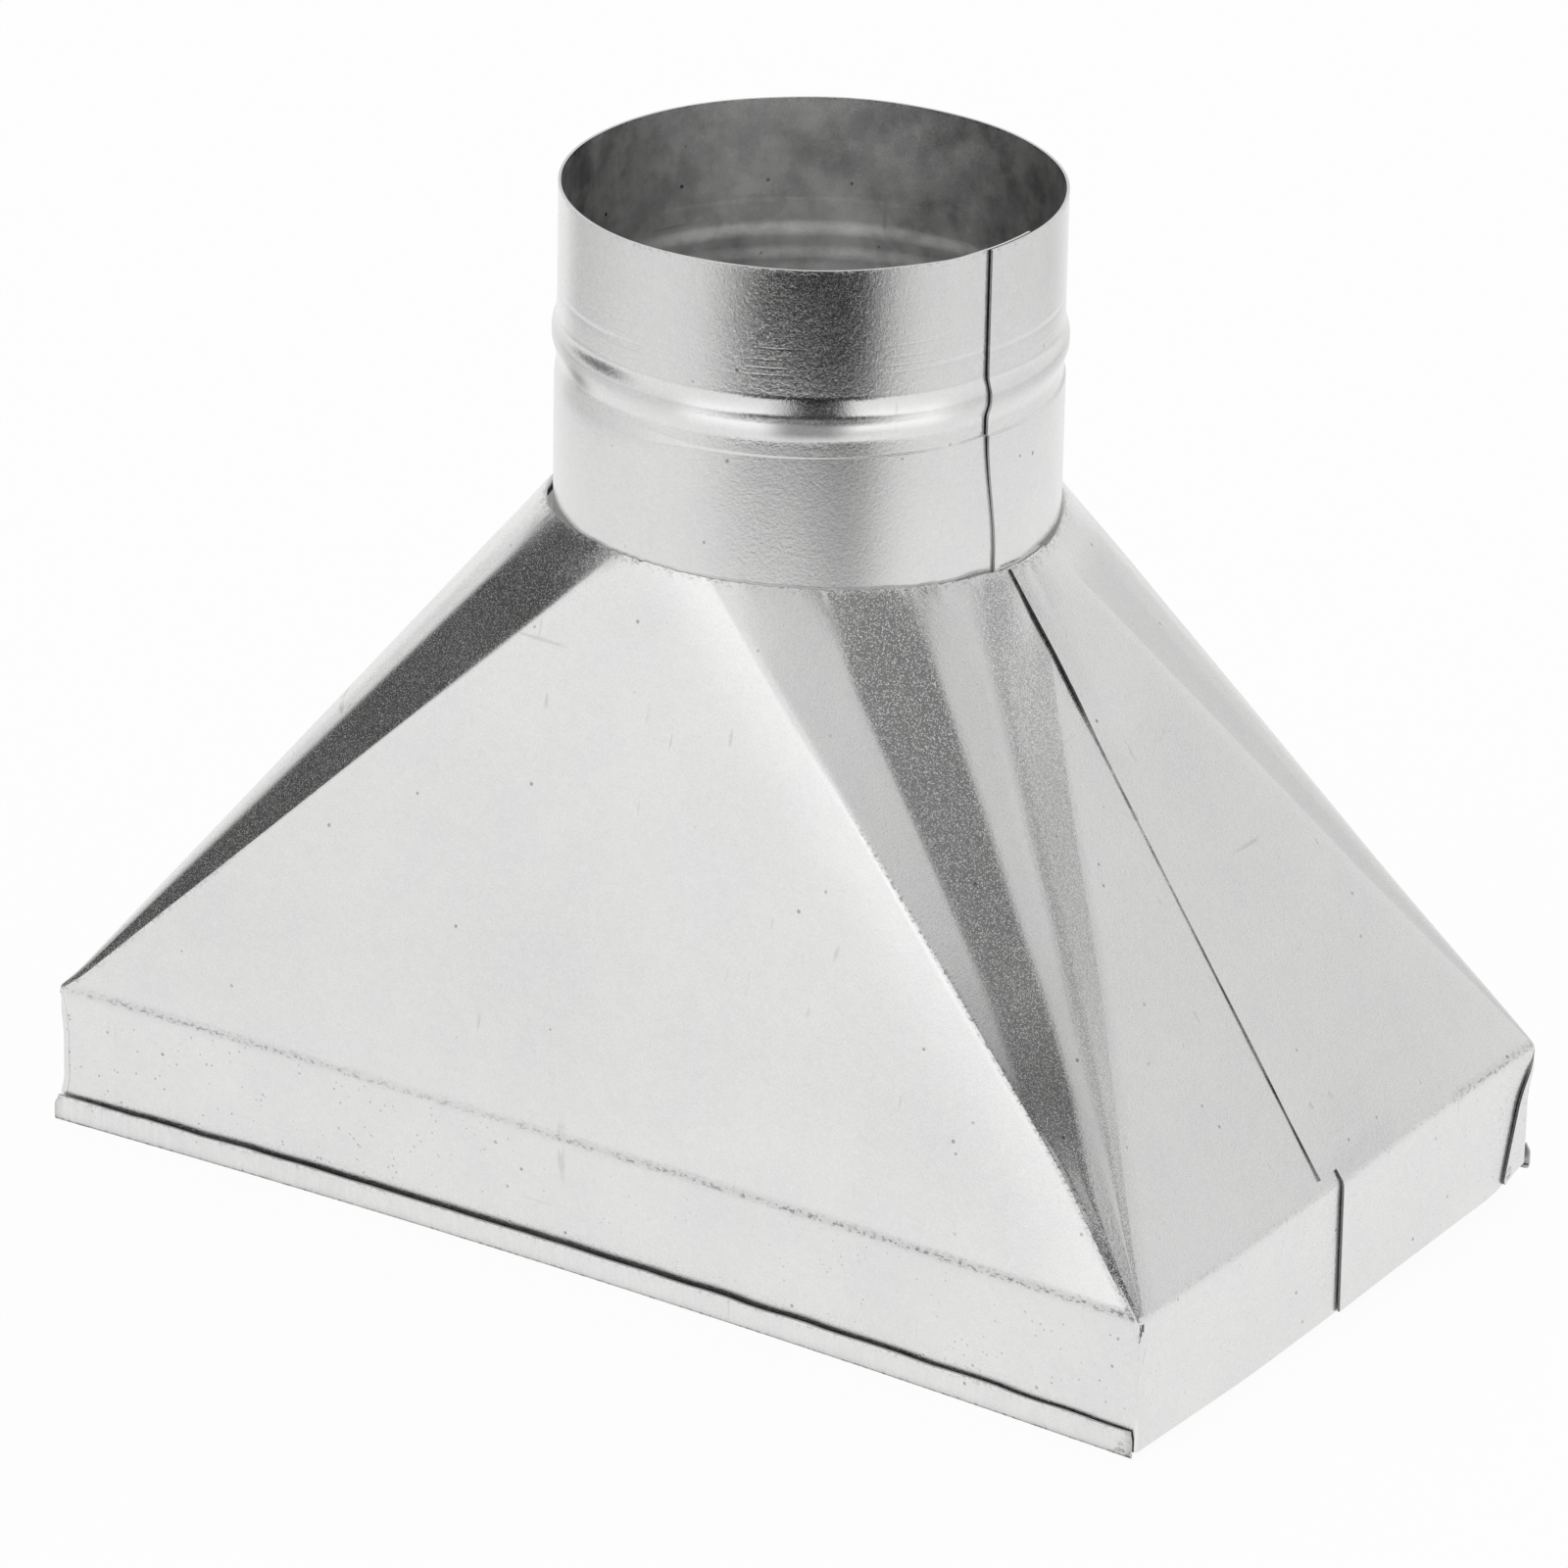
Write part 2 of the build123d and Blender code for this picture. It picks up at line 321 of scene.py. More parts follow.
def cone_sheet(back):
    """The creased sheet above the fold, and how far each point is from the long face's two creases."""
    lines = np.stack([crease_curve(k, V_ROWS) for k in range(LAST + 1)])
    sections = [soft_section(lines[:, i], v) for i, v in enumerate(V_ROWS)]
    poly, from_right, from_left = (np.stack(part) for part in zip(*sections))
    # round close to the neck
    lift = np.interp(ANGLE, [-184, -171, -156, 9], [LAP_RISE, LAP_RISE, 0.0, 0.0])
    round_top = ring(ANGLE, NECK_R)
    round_top[:, :2] *= (1 + lift / NECK_R)[:, None]
    rounded = FEET[None] + (round_top - FEET)[None] * V_ROWS[:, None, None]
    w = smooth((V_ROWS - 0.845) / 0.15)[:, None, None]
    cone = poly * (1 - w) + rounded * w
    # the front sheet stands a little off the collar at the left
    if not back:
        off = 0.85 * np.exp(-np.abs((ANGLE + 143) / 20.0) ** 2.5)
        pushed_out(cone, off[None] * smooth((V_ROWS - 0.88) / 0.12)[:, None])
    # uneven cut edge at the neck, with a few nips
    edge = smooth((V_ROWS - 0.96) / 0.04)[:, None]
    cone[..., 2] += edge * (0.10 * waves(cone, 11 + back, 9) + 0.06 * waves(cone, 12 + back, 2.5))
    for place, size in ((-52, 0.30), (-42, 0.22), (-26, 0.34), (-96, 0.16), (-118, 0.2), (-8, 0.18)):
        nip = size * bell(ANGLE - place, 0.9)[None] * smooth((V_ROWS - 0.975) / 0.025)[:, None]
        pushed_out(cone, nip)
        cone[..., 2] -= nip * 0.9
    # the lapping sheet lies close to the other half along most of its length
    press = np.where(WHICH == LEFT_FLAT, smooth(SHARE), WHICH == LAP)
    depth = np.interp(V_ROWS, [0.01, 0.04, 0.12, 0.24, 0.32, 0.5, 0.72, 0.79],
                      [0, 0.22, 0.36, 0.28, 0.38, 0.43, 0.38, 0])
    cone += (press[None] * depth[:, None])[..., None] * np.array([0.82, 0.0, -0.57])
    # slight waviness of the flats
    inner = smooth(V_ROWS / 0.15)[:, None] * smooth((1 - V_ROWS) / 0.1)[:, None]
    cone[..., 1] += inner * 0.10 * waves(cone, 21 + back, 90)
    return cone, from_right, from_left


def over_fold(cone):
    """Each column's point on the fold, and the rows over the fold and down the wall."""
    up = cone[-8] - cone[-1]
    up /= np.linalg.norm(up, axis=1, keepdims=True)
    base = cone[-1] - up * (cone[-1][:, 2] - FOLD_Z)[:, None] / up[:, 2:3]
    down = np.array([0, 0, -1])
    rows = [base + up * FOLD_BEND * (1 - t) ** 2 + down * FOLD_BEND * t * t
            for t in np.linspace(0.0, 1.0, FOLD_ROWS)]
    for t in np.linspace(0, 1, WALL_ROWS)[1:]:
        p = base.copy()
        p[:, 2] = WALL_TOP * (1 - t) + np.where(ON_LONG, HEM_FOOT, FOOT) * t
        rows.append(p)
    return base, np.stack(rows)


def long_bow(x, z):
    """How far the long wall has been pushed in: nothing at the corners, most at mid-length."""
    mid = np.clip(1 - (x / HALF_L) ** 2, 0, 1)
    drop = np.clip((FOLD_Z - z) / FOLD_Z, 0, 1)
    return mid * (2.0 * smooth((61.4 - z) / 60) + 1.7 * drop ** 1.3)


def bow_walls(sheet, base):
    """The long wall's bow, the ends' slight bulge and the lapping end wall's lean, in place."""
    drop = np.clip((FOLD_Z - sheet[..., 2]) / FOLD_Z, 0, 1)
    sheet[..., 1] += np.where(ON_LONG[None], long_bow(sheet[..., 0], sheet[..., 2]), 0)
    end_bow = (1 - (sheet[..., 1] / HALF_W) ** 2).clip(0, 1)
    bulge = np.sign(sheet[..., 0]) * end_bow * 0.25 * drop ** 1.5
    sheet[..., 0] += np.where((RIGHT_END | LEFT_END)[None], bulge, 0)
    # the lapping wall leans out over the other half
    over = LAP_RISE * (base[:, 1] + HALF_W) / (HALF_W - 9)
    lean = np.where(LEFT_END & (base[:, 1] > -HALF_W + 2), over, 0.0)
    short = np.abs(base[:, 0]) - HALF_L
    sheet[..., 0] -= ((lean - np.where(LEFT_END, short, 0))[None]) * smooth(drop * 9)


# patches of painted shade on the cone: height share, reach and strength, and the flats that have them
SHADE_PATCHES = [
    (0.31, 0.09, 0.42, (3, 4)),
    (0.42, 0.08, 0.15, (2,)),
    (0.20, 0.08, 0.30, (4,)),
    (0.09, 0.05, 0.25, (4,)),
    (0.27, 0.10, 0.20, (2,)),
    (0.42, 0.22, 0.12, (1,)),
    (0.42, 0.07, 0.16, (4,)),
]


def sheet_marks(sheet, base, from_right, from_left, back):
    """Scuffs, stains, pits, painted highlights and painted shade, and the cut edge's painted highlight, over
    the half's main sheet.
    """
    z = sheet[..., 2]
    n_cone = len(from_right) - 1

    def over_cone(values, rest):
        out = np.full(z.shape, rest)
        out[:n_cone] = values
        return out

    on_cone = over_cone(1.0, 0.0)
    off_right = over_cone(from_right[:-1], 99.0)
    off_left = over_cone(from_left[:-1], 99.0)
    v = over_cone(V_ROWS[:-1, None], 0.0)
    # the scuffed fold, with a haze over it
    run = np.interp(base[:, 0], [-128, -110, -65, -45, -20, 0, 128], [0.45, 0.9, 0.8, 0.5, 0.6, 1.0, 1.15])
    run = np.where(ON_LONG, run, np.where((WHICH == LEFT_FLAT) & (base[:, 1] < -42), 0.8, 0.3))[None]
    fold_mark = bell(z - FOLD_Z - 0.2, 0.62) * run
    fold_haze = bell(z - FOLD_Z - 0.3, 0.9) * 0.21 * run
    # the scuffed creases and neck edge
    near_right = bell(off_right, 0.6) * smooth((0.72 - v) / 0.1)
    near_left = bell(off_left, 0.6) * smooth((0.35 - v) / 0.1) * 0.7
    neck_mark = smooth((v - 0.988) / 0.01) * 0.8
    scuff = np.maximum.reduce([fold_mark, near_right * 1.1, near_left, neck_mark])
    # painted highlight over the long face, growing towards its right-hand crease, with a brighter painted
    # highlight line on the crease
    inside = smooth((off_right - 0.3) / 1.2) * on_cone
    painted_light = inside * (0.16 * bell(off_right, 90) + 0.55 * bell(off_right, 15))
    painted_light += 0.8 * bell(off_right - 0.9, 0.45) * on_cone * smooth((0.8 - v) / 0.1)
    # painted light at the dark facet's two ends and at the end facet's top
    ends = 0.7 * smooth((v - 0.72) / 0.1) + 0.9 * smooth((0.16 - v) / 0.08)
    painted_light += (WHICH == 3)[None] * on_cone * ends
    painted_light += (WHICH == 1)[None] * on_cone * 0.4 * smooth((v - 0.7) / 0.1)
    # painted shade in patches on the near cone, and over the far cone's facets
    facet_shade = 0.05 * np.isin(WHICH, (3, 6))[None]
    for height, reach, strength, flats in SHADE_PATCHES:
        facet_shade = facet_shade + strength * bell(v - height, reach) * np.isin(WHICH, flats)[None]
    stain_and_shade = fold_haze + facet_shade * on_cone
    if back:
        stain_and_shade += np.isin(WHICH, (7, 8, 9))[None] * on_cone * smooth((0.97 - v) / 0.05) * 0.15
    # pits below the fold
    pitted = smooth((FOLD_Z - 0.4 - z) / 1.0) * np.where(ON_LONG, 1.0, 0.35)[None]
    pitted = pitted * np.interp(base[:, 0], [-128, -60, 0, 90, 128], [1.0, 0.8, 0.3, 0.5, 0.9])[None]
    # painted highlights on the cut edges: here and there on the lap's free edge, all along the neck's edge,
    # less on the band's
    glint = np.interp(v, [0, 0.2, 0.3, 0.42, 0.5, 0.72, 0.80, 1], [0.3, 0.45, 0.5, 0.9, 1.3, 1.2, 0.1, 0.04])
    glint = glint + 0.35 * waves(sheet, 61 + back, 7) * smooth((0.78 - v) / 0.05)
    neck_highlight = 1.5 * smooth((v - 0.95) / 0.03) * (WHICH != LAP)[None]
    edge_highlight = np.where(on_cone > 0, np.maximum(neck_highlight, glint), 0.28)
    return {"scuff": scuff, "painted_light": painted_light, "stain_and_shade": stain_and_shade, "pitted": pitted, "edge_highlight": edge_highlight}


def open_hem(base, back):
    """The wall's foot folded out and up again, its outer face first: points and marks."""
    x = base[ON_LONG, 0]
    gap = np.interp(x, [-128, -110, 30, 110, 128], [0.70, 0.92, 0.92, 0.6, 0.45])
    reach = gap / 2 + SHEET
    squash = np.minimum((HEM_FOOT - 0.01) / reach, 1)
    rows = []
    for a in np.linspace(0, math.pi, 15):
        y = -HALF_W - gap / 2 + reach * math.cos(a)
        rows.append(np.stack([x, y, HEM_FOOT - reach * squash * math.sin(a)], -1))
    turned = len(rows) - 1
    tip = 0.12 * waves(base[ON_LONG], 41 + back, 14) + 0.05 * waves(base[ON_LONG], 42 + back, 3)
    for t in np.linspace(0, 1, 8)[1:]:
        rows.append(np.stack([x, -HALF_W - gap - SHEET, HEM_FOOT + (HEM_TOP + tip - HEM_FOOT) * t], -1))
    hem = np.stack(rows)
    row = np.arange(len(hem))[:, None]
    # it stays a little open at the left and runs past the corner, with its ends cut aslant
    u = np.clip((x + HALF_L - CORNER_R) / (2 * (HALF_L - CORNER_R)), 0, 1)[None]
    hem[..., 0] += np.clip(row / 8.0, 0, 1) * np.interp(u, [0, 0.02, 0.98, 1], [-2.1, -1.2, 0.4, 0.7])
    high = smooth((hem[..., 2] - 3.7) / 2.0) * (row > turned)
    hem[..., 0] += high * np.interp(u, [0, 0.012, 0.99, 1], [0.9, 0.4, -0.1, -0.35])
    hem[..., 1] += long_bow(hem[..., 0].clip(-HALF_L, HALF_L), hem[..., 2])
    # scuffed along its top, painted shade along its foot, dirt on its right end, brush marks down its face,
    # a painted highlight on its cut edge
    top = smooth((hem[..., 2] - 4.7) / 1.0) * (row > turned) * 0.7
    full = np.ones(hem.shape[:2])
    under = bell(row - 11.0, 2.4) * full
    outer = row > 8
    dirt = smooth((u - 0.982) / 0.012) * smooth((19.5 - row) / 4.0) * outer
    at_end = (smooth((u - 0.996) / 0.003) + smooth((0.006 - u) / 0.003)) * outer
    marks = {
        "scuff": np.maximum.reduce([top, under * 0.9, dirt]),
        "stain_and_shade": 0.95 * under + 0.10 * dirt + 0.35 * at_end,
        "brushed": full * np.interp(x, [-128, 0, 128], [1.0, 0.6, 0.5])[None],
        "edge_highlight": full * np.interp(x, [-128, 40, 128], [0.75, 0.75, 0.9])[None],
    }
    return hem, marks


def tab_width(z):
    """A corner tab: nothing at the fold, widest at its foot, with a rounded tip."""
    w = TAB_FOOT * np.clip((FOLD_Z - z) / (FOLD_Z - FOOT), 0, 1)
    return w - 1.1 * np.clip(1 - (z - FOOT) / 1.4, 0, 1) ** 2


def right_tab():
    """At the right corner the long wall turns in and lies behind the end wall."""
    inner_x = HALF_L - SHEET - 0.08
    rows = []
    for z in np.linspace(WALL_TOP, FOOT, 20):
        r = 0.12 + 0.95 * bell(z - SLIT_Z, 2.0)
        w = max(tab_width(z) - r, 0.02)
        row = [(HALF_L - CORNER_R - 0.3, -HALF_W, z)]
        row += [(inner_x - r + r * math.sin(a), -HALF_W + r - r * math.cos(a), z)
                for a in np.linspace(0, math.pi / 2, 7)]
        row += [(inner_x, -HALF_W + r + w * t, z) for t in np.linspace(0, 1, 6)[1:]]
        rows.append(row)
    return np.array(rows)


def right_edge():
    """The end wall's free edge closes on that tab with a small round, but for a short slit."""
    r = 0.52
    rows = []
    for z in np.linspace(WALL_TOP, FOOT, 60):
        pull = 1.25 * math.exp(-(abs(z - SLIT_Z) / 1.9) ** 2.5)
        row = [(HALF_L, -HALF_W + 2.2, z)]
        row += [(HALF_L - r + r * math.cos(a), -HALF_W + r + pull - r * math.sin(a), z)
                for a in np.linspace(0, math.pi / 2 * (1 - 0.8 * min(pull, 1)), 8)]
        row.append((HALF_L - r - 0.35, -HALF_W + pull - 0.03, z))
        rows.append(row)
    points = np.array(rows)
    # a painted highlight down the round near its foot, and a faint one on its cut edge
    ridge = smooth((9.5 - points[..., 2]) / 2) * bell(np.arange(points.shape[1]) - 5, 2.5)[None] * 0.4
    return points, {"painted_light": ridge, "edge_highlight": np.full(ridge.shape, 0.2)}


def left_tab():
    """At the left corner the long wall turns round on the outside of the end wall."""
    rows = []
    for z in np.linspace(WALL_TOP, FOOT, 56):
        w = max(tab_width(z) - BEND_R, 0.02)
        raised = z + 0.4 * smooth((9 - z) / 7.6)
        outer_x = -HALF_L - 0.03 - 0.62 * smooth((WALL_TOP - z) / 5)
        row = [(outer_x, -HALF_W + BEND_R + w * t, z + (raised - z) * (1 - t))
               for t in np.linspace(1, 0, 22)]
        row += [(outer_x + BEND_R - BEND_R * math.sin(a), -HALF_W + BEND_R - BEND_R * math.cos(a), raised)
                for a in np.linspace(math.pi / 2, 0, 8)[1:]]
        row += [(-HALF_L + CORNER_R, -HALF_W, raised)]
        rows.append(row)
    points = np.array(rows)
    # its free edge stands off a little
    off = bell(np.arange(points.shape[1]), 6.0)
    points[..., 0] -= 0.10 * off[None] * smooth((25.4 - points[..., 2]) / 8)
    # the clinch mark at its tip
    from_clinch = np.hypot(points[..., 1] + HALF_W - TAB_FOOT + 2.6, points[..., 2] - FOOT - 1.9)
    points[..., 0] += 0.22 * bell(from_clinch, 0.75)
    clinch = bell(from_clinch - 1.0, 0.35)
    # a painted highlight on its cut edge, brighter towards the top
    edge_highlight = 0.25 + 0.6 * smooth((points[..., 2] - 22) / 5)
    marks = {"scuff": 0.9 * clinch, "stain_and_shade": 0.5 * clinch, "pitted": np.full(clinch.shape, 0.6), "edge_highlight": edge_highlight}
    return points, marks


def body_half(name, node, back, materials):
    cone, from_right, from_left = cone_sheet(back)
    base, lower = over_fold(cone)
    n_cone = len(cone) - 1
    sheet = np.concatenate([cone[:-1], lower])
    bow_walls(sheet, base)
    # the lap has no wall, and only the three flats carry on below the fold
    keep = np.ones((len(sheet) - 1, len(WHICH) - 1), bool)
    col = WHICH[:-1]
    keep[n_cone - 2:] &= (col != LAP)[None]
    keep[n_cone + FOLD_ROWS - 1:] = np.isin(col, (LONG_FACE, RIGHT_FLAT, LEFT_FLAT))[None]
    marks = sheet_marks(sheet, base, from_right, from_left, back)
    grids = [(placed(sheet, back), keep, False, marks)]
    # points that run the other way are turned round, so that all faces look outwards
    parts = [(open_hem(base, back), -1), ((right_tab(), {}), -1), (right_edge(), 1), (left_tab(), -1)]
    for (points, marks), way in parts:
        marks = {key: value[:, ::way] for key, value in marks.items()}
        grids.append((placed(points[:, ::way], back), None, False, marks))
    make_piece(name, grids, node, materials)


# Collar

def collar_piece(materials):
    # columns once round from the seam, which laps by 15 degrees
    angles = np.concatenate([
        np.linspace(0, 330, 290, endpoint=False),
        np.linspace(330, 345, 12, endpoint=False),
        np.linspace(345, 375, 50),
    ])
    z = np.concatenate([
        np.linspace(TOP_Z, 189.4, 14, endpoint=False),
        np.linspace(189.4, 171.4, 50, endpoint=False),
        np.linspace(171.4, 167.8, 50, endpoint=False),
        np.linspace(167.8, 145.4, 14, endpoint=False),
        np.linspace(145.4, COLLAR_FOOT, 12),
    ])
    zz, aa = np.meshgrid(z, angles, indexing="ij")
    on_bead = 1 - smooth((np.abs(zz - BEAD_Z) / BEAD_REACH - 0.12) / 0.88)
    # the sheet goes under its other end, closer below the bead
    under = np.interp(zz, [150.0, 172.0], [0.62, 0.85]) * smooth((aa - 347) / 12.0)
    # the step to the lower part is crisp at the front and drawn out at the left
    length = 0.45 + 6.0 * (1 - smooth((aa - 268) / 24)) * smooth((aa - 215) / 15)
    step = STEP_RISE * smooth((STEP_FOOT + length / 2 - zz) / length)
    # the faint roll above the bead fades out at the front
    roll = 0.05 * bell(zz - ROLL_Z, 0.5) * (1 - smooth((aa - 262) / 20) * smooth((352 - aa) / 12))
    # the top sheet's edge slants below the bead
    slant = 3.0 * smooth((169.4 - zz) / 26) * bell(aa, 25.0)
    theta = np.radians(SEAM_AZIMUTH + aa + slant)
    rr = COLLAR_R + BEAD_RISE * on_bead - under - roll + step
    rr = rr + 0.06 * waves(np.stack([rr * np.cos(theta), rr * np.sin(theta), zz], -1), 5, 60)
    points = np.stack([rr * np.cos(theta), rr * np.sin(theta), zz], -1)
    # a rim that isn't quite level
    points[..., 2] += bell(zz - TOP_Z, 2.0) * np.minimum(0.07 * waves(points, 8, 25) - 0.14, 0)
    # painted highlight where the bead faces the front, painted shade on the rest of the bead, with a painted
    # reflection of the dark column between
    facing = smooth((aa - 283) / 10) * smooth((354 - aa) / 12)
    column = np.exp(-(np.abs(aa - 316.5) / 8.5) ** 4)
    column = column * smooth((182.2 - zz) / 1.5) * smooth((zz - 172.0) / 2.5)
    painted_light = on_bead ** 2 * (facing * 1.35 - 0.35) * (1 - column)
    column = column * (0.40 + 0.50 * smooth((BEAD_Z + 0.4 - zz) / 1.5))
    # a darker upper part, a painted reflection of the dark column above the bead, and a dark patch at the
    # left of the bead
    upper = smooth((zz - BEAD_Z - 0.4) / 4) * 0.03
    upper = upper + 0.18 * np.exp(-(np.abs(aa - 318) / 8.0) ** 4) * smooth((zz - 181) / 2)
    smudge = 1.05 * np.exp(-((aa - 252.5) / 5.5) ** 2 - ((zz - 174.2) / 2.0) ** 2)
    # painted shade on the inside, darkest towards its two ends as the camera sees it
    heading = (aa + SEAM_AZIMUTH) % 360
    inner_shade = np.interp(heading, [33, 50, 75, 123, 165, 190, 213, 300],
                    [0.3, 0.27, 0.24, 0.07, 0.11, 0.33, 0.38, 0.2])
    marks = {
        "painted_light": painted_light,
        "turn": np.radians(aa) * 50,
        "scuff": bell(zz - TOP_Z, 0.5) * 0.6,
        "matte": smooth((172.0 - zz) / 1.6) + 0.9 * on_bead,
        "stain_and_shade": upper + column + smudge,
        "inner_shade": inner_shade * (1 - 0.4 * smooth((184 - zz) / 20)),
        # painted highlight on the cut edges
        "edge_highlight": np.ones(zz.shape),
    }
    make_piece("collar_skin", [(points, None, True, marks)], "collar", materials)


# Materials

def new_material(name):
    m = bpy.data.materials.new(name)
    m.use_nodes = True
    m.node_tree.nodes.clear()
    return m, m.node_tree.nodes, m.node_tree.links


class Net:
    """Short names for the shader nodes that the metals share."""

    def __init__(self, name, seed):
        self.m, self.nodes, self.links = new_material(name)
        place = self.nodes.new("ShaderNodeTexCoord")
        shift = self.nodes.new("ShaderNodeMapping")
        shift.inputs["Location"].default_value = (seed * 0.37, seed * 0.11, seed * 0.23)
        self.links.new(place.outputs["Object"], shift.inputs["Vector"])
        self.place = shift.outputs[0]
        self.object = place.outputs["Object"]

    def feed(self, socket, value):
        """Sets a socket to a number, or links it to another node's output."""
        if isinstance(value, (tuple, int, float)):
            socket.default_value = value
        else:
            self.links.new(value, socket)

    def stretched(self, x, y, z, source=None):
        n = self.nodes.new("ShaderNodeMapping")
        n.inputs["Scale"].default_value = (x, y, z)
        self.links.new(source or self.place, n.inputs["Vector"])
        return n.outputs[0]

    def noise(self, scale, detail=2.0, rough=0.5, vector=None):
        n = self.nodes.new("ShaderNodeTexNoise")
        n.inputs["Scale"].default_value = scale
        n.inputs["Detail"].default_value = detail
        n.inputs["Roughness"].default_value = rough
        self.links.new(vector or self.place, n.inputs["Vector"])
        return n.outputs["Fac"]

    def cells(self, scale, output="Distance"):
        n = self.nodes.new("ShaderNodeTexVoronoi")
        n.inputs["Scale"].default_value = scale
        self.links.new(self.place, n.inputs["Vector"])
        return n.outputs[output]

    def ramp(self, source, low, high, to_low=0.0, to_high=1.0):
        r = self.nodes.new("ShaderNodeMapRange")
        r.interpolation_type = "SMOOTHSTEP"
        limits = {"From Min": low, "From Max": high, "To Min": to_low, "To Max": to_high}
        for key, value in limits.items():
            r.inputs[key].default_value = value
        self.links.new(source, r.inputs["Value"])
        return r.outputs["Result"]

    def maths(self, kind, a, b=0.0):
        n = self.nodes.new("ShaderNodeMath")
        n.operation = kind
        self.feed(n.inputs[0], a)
        self.feed(n.inputs[1], b)
        return n.outputs[0]

    def times(self, a, b):
        return self.maths("MULTIPLY", a, b)

    def total(self, *parts):
        out = parts[0]
        for p in parts[1:]:
            out = self.maths("ADD", out, p)
        return out

    def attribute(self, name):
        n = self.nodes.new("ShaderNodeAttribute")
        n.attribute_name = name
        return n.outputs["Fac"]

    def vector(self, *values):
        n = self.nodes.new("ShaderNodeCombineXYZ")
        for socket, value in zip(n.inputs, values):
            self.feed(socket, value)
        return n.outputs[0]

    def axis(self, source, letter):
        n = self.nodes.new("ShaderNodeSeparateXYZ")
        self.links.new(source, n.inputs[0])
        return n.outputs[letter]

    def mix(self, factor, a, b):
        n = self.nodes.new("ShaderNodeMix")
        n.data_type = "RGBA"
        self.feed(n.inputs["Factor"], factor)
        for name, value in (("A", a), ("B", b)):
            self.feed(next(i for i in n.inputs if i.name == name and i.type == "RGBA"), value)
        return next(o for o in n.outputs if o.type == "RGBA")

    def grey(self, value):
        n = self.nodes.new("ShaderNodeCombineColor")
        for socket in n.inputs[:3]:
            self.links.new(value, socket)
        return n.outputs[0]

    def finish(self, colour, rough, height, strength, distance):
        out = self.nodes.new("ShaderNodeOutputMaterial")
        metal = self.nodes.new("ShaderNodeBsdfPrincipled")
        metal.inputs["Metallic"].default_value = 1.0
        self.links.new(metal.outputs[0], out.inputs["Surface"])
        self.links.new(colour, metal.inputs["Base Color"])
        self.links.new(rough, metal.inputs["Roughness"])
        bump = self.nodes.new("ShaderNodeBump")
        bump.inputs["Strength"].default_value = strength
        bump.inputs["Distance"].default_value = distance
        self.links.new(height, bump.inputs["Height"])
        self.links.new(bump.outputs["Normal"], metal.inputs["Normal"])
        return self.m


# the bumps' distance in metres
RELIEF = 0.00005
# heights in millimetres of the collar's roll lines, above the bead
ROLL_LINES = (182.6, 184.0, 185.7, 188.0)


